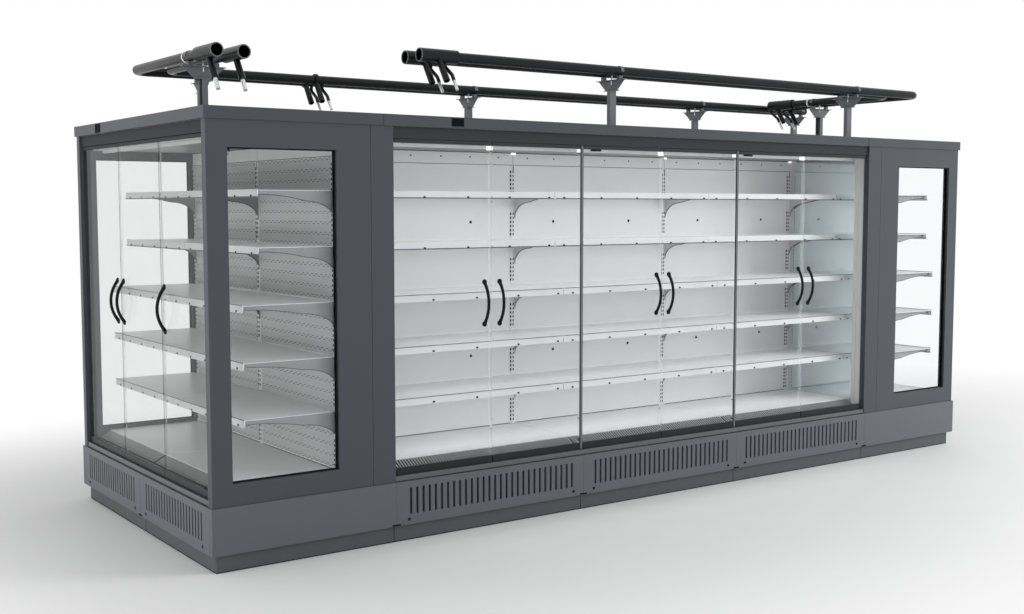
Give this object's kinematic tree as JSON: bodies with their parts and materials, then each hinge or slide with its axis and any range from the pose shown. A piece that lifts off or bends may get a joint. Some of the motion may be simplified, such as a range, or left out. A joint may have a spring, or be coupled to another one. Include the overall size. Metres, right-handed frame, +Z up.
{
  "type": "glass_door_multideck_island",
  "caption": "Glass-door multideck refrigerated display island with end cases, vented skirt and overhead header pipes",
  "frame": {"origin": "on the floor, at the centre of the bounding box", "axes": "+X along the length, +Y from the front run to the rear run, +Z up"},
  "size_m": [5.819, 2.041, 2.587],
  "materials": {
    "charcoal_paint": "satin powder coat, dark blue-grey",
    "white_paint": "smooth white powder coat",
    "frame_black": "matt dark grey",
    "window_glass": "clear sealed unit",
    "door_glass": "clear sealed unit with polished edges",
    "handle_black": "black, slightly glossy",
    "rail_plastic": "light grey price rail",
    "mirror_sheet": "slightly blue mirror",
    "lamp_cover": "milky light cover",
    "bare_aluminium": "plain fin stock",
    "pipe_foam": "black closed-cell insulation, smooth",
    "galvanised_steel": "galvanised, dull spangle"
  },
  "bodies": {
    "cabinet": {"plinth": "charcoal_paint", "skirt_panels": "charcoal_paint", "vent_grilles": "charcoal_paint", "top_fascia": "charcoal_paint", "side_panels": "charcoal_paint", "window_panes": "window_glass", "roof_shell": "white_paint", "base_tub": "frame_black", "core_wall": "white_paint", "back_panels": "white_paint", "display_decks": "white_paint", "slotted_uprights": "white_paint", "shelves": "white_paint", "shelf_brackets": "white_paint", "price_rails": "rail_plastic", "door_headers": "frame_black", "door_sills": "charcoal_paint", "mullions": "frame_black", "return_grilles": "frame_black", "mirror_panels": "mirror_sheet", "light_strips": "lamp_cover", "evaporators": "bare_aluminium", "header_pipes": "pipe_foam", "pipe_stands": "galvanised_steel"},
    "front_door_1": {"front_door_1_glass": "door_glass", "front_door_1_fittings": "handle_black"},
    "front_door_2": {"front_door_2_glass": "door_glass", "front_door_2_fittings": "handle_black"},
    "front_door_3": {"front_door_3_glass": "door_glass", "front_door_3_fittings": "handle_black"},
    "front_door_4": {"front_door_4_glass": "door_glass", "front_door_4_fittings": "handle_black"},
    "front_door_5": {"front_door_5_glass": "door_glass", "front_door_5_fittings": "handle_black"},
    "front_door_6": {"front_door_6_glass": "door_glass", "front_door_6_fittings": "handle_black"},
    "rear_door_1": {"rear_door_1_glass": "door_glass", "rear_door_1_fittings": "handle_black"},
    "rear_door_2": {"rear_door_2_glass": "door_glass", "rear_door_2_fittings": "handle_black"},
    "rear_door_3": {"rear_door_3_glass": "door_glass", "rear_door_3_fittings": "handle_black"},
    "rear_door_4": {"rear_door_4_glass": "door_glass", "rear_door_4_fittings": "handle_black"},
    "rear_door_5": {"rear_door_5_glass": "door_glass", "rear_door_5_fittings": "handle_black"},
    "rear_door_6": {"rear_door_6_glass": "door_glass", "rear_door_6_fittings": "handle_black"},
    "left_door_1": {"left_door_1_glass": "door_glass", "left_door_1_fittings": "handle_black"},
    "left_door_2": {"left_door_2_glass": "door_glass", "left_door_2_fittings": "handle_black"},
    "left_door_3": {"left_door_3_glass": "door_glass", "left_door_3_fittings": "handle_black"},
    "right_door_1": {"right_door_1_glass": "door_glass", "right_door_1_fittings": "handle_black"},
    "right_door_2": {"right_door_2_glass": "door_glass", "right_door_2_fittings": "handle_black"},
    "right_door_3": {"right_door_3_glass": "door_glass", "right_door_3_fittings": "handle_black"}
  },
  "joints": [
    {"name": "front_door_1_hinge", "type": "hinge", "parent": "cabinet", "child": "front_door_1", "pos_m": [-1.8485, -0.9655, 0.354], "axis": [0, 0, -1], "range_deg": [0, 85]},
    {"name": "front_door_2_hinge", "type": "hinge", "parent": "cabinet", "child": "front_door_2", "pos_m": [-0.6515, -0.9655, 0.354], "axis": [0, 0, 1], "range_deg": [0, 85]},
    {"name": "front_door_3_hinge", "type": "hinge", "parent": "cabinet", "child": "front_door_3", "pos_m": [-0.5985, -0.9655, 0.354], "axis": [0, 0, -1], "range_deg": [0, 85]},
    {"name": "front_door_4_hinge", "type": "hinge", "parent": "cabinet", "child": "front_door_4", "pos_m": [0.5985, -0.9655, 0.354], "axis": [0, 0, 1], "range_deg": [0, 85]},
    {"name": "front_door_5_hinge", "type": "hinge", "parent": "cabinet", "child": "front_door_5", "pos_m": [0.6515, -0.9655, 0.354], "axis": [0, 0, -1], "range_deg": [0, 85]},
    {"name": "front_door_6_hinge", "type": "hinge", "parent": "cabinet", "child": "front_door_6", "pos_m": [1.8485, -0.9655, 0.354], "axis": [0, 0, 1], "range_deg": [0, 85]},
    {"name": "rear_door_1_hinge", "type": "hinge", "parent": "cabinet", "child": "rear_door_1", "pos_m": [1.8485, 0.9655, 0.354], "axis": [0, 0, -1], "range_deg": [0, 85]},
    {"name": "rear_door_2_hinge", "type": "hinge", "parent": "cabinet", "child": "rear_door_2", "pos_m": [0.6515, 0.9655, 0.354], "axis": [0, 0, 1], "range_deg": [0, 85]},
    {"name": "rear_door_3_hinge", "type": "hinge", "parent": "cabinet", "child": "rear_door_3", "pos_m": [0.5985, 0.9655, 0.354], "axis": [0, 0, -1], "range_deg": [0, 85]},
    {"name": "rear_door_4_hinge", "type": "hinge", "parent": "cabinet", "child": "rear_door_4", "pos_m": [-0.5985, 0.9655, 0.354], "axis": [0, 0, 1], "range_deg": [0, 85]},
    {"name": "rear_door_5_hinge", "type": "hinge", "parent": "cabinet", "child": "rear_door_5", "pos_m": [-0.6515, 0.9655, 0.354], "axis": [0, 0, -1], "range_deg": [0, 85]},
    {"name": "rear_door_6_hinge", "type": "hinge", "parent": "cabinet", "child": "rear_door_6", "pos_m": [-1.8485, 0.9655, 0.354], "axis": [0, 0, 1], "range_deg": [0, 85]},
    {"name": "left_door_1_hinge", "type": "hinge", "parent": "cabinet", "child": "left_door_1", "pos_m": [-2.8545, 0.921, 0.354], "axis": [0, 0, -1], "range_deg": [0, 85]},
    {"name": "left_door_2_hinge", "type": "hinge", "parent": "cabinet", "child": "left_door_2", "pos_m": [-2.8545, -0.296, 0.354], "axis": [0, 0, 1], "range_deg": [0, 85]},
    {"name": "left_door_3_hinge", "type": "hinge", "parent": "cabinet", "child": "left_door_3", "pos_m": [-2.8545, -0.921, 0.354], "axis": [0, 0, 1], "range_deg": [0, 85]},
    {"name": "right_door_1_hinge", "type": "hinge", "parent": "cabinet", "child": "right_door_1", "pos_m": [2.8545, -0.921, 0.354], "axis": [0, 0, -1], "range_deg": [0, 85]},
    {"name": "right_door_2_hinge", "type": "hinge", "parent": "cabinet", "child": "right_door_2", "pos_m": [2.8545, 0.296, 0.354], "axis": [0, 0, 1], "range_deg": [0, 85]},
    {"name": "right_door_3_hinge", "type": "hinge", "parent": "cabinet", "child": "right_door_3", "pos_m": [2.8545, 0.921, 0.354], "axis": [0, 0, 1], "range_deg": [0, 85]}
  ]
}
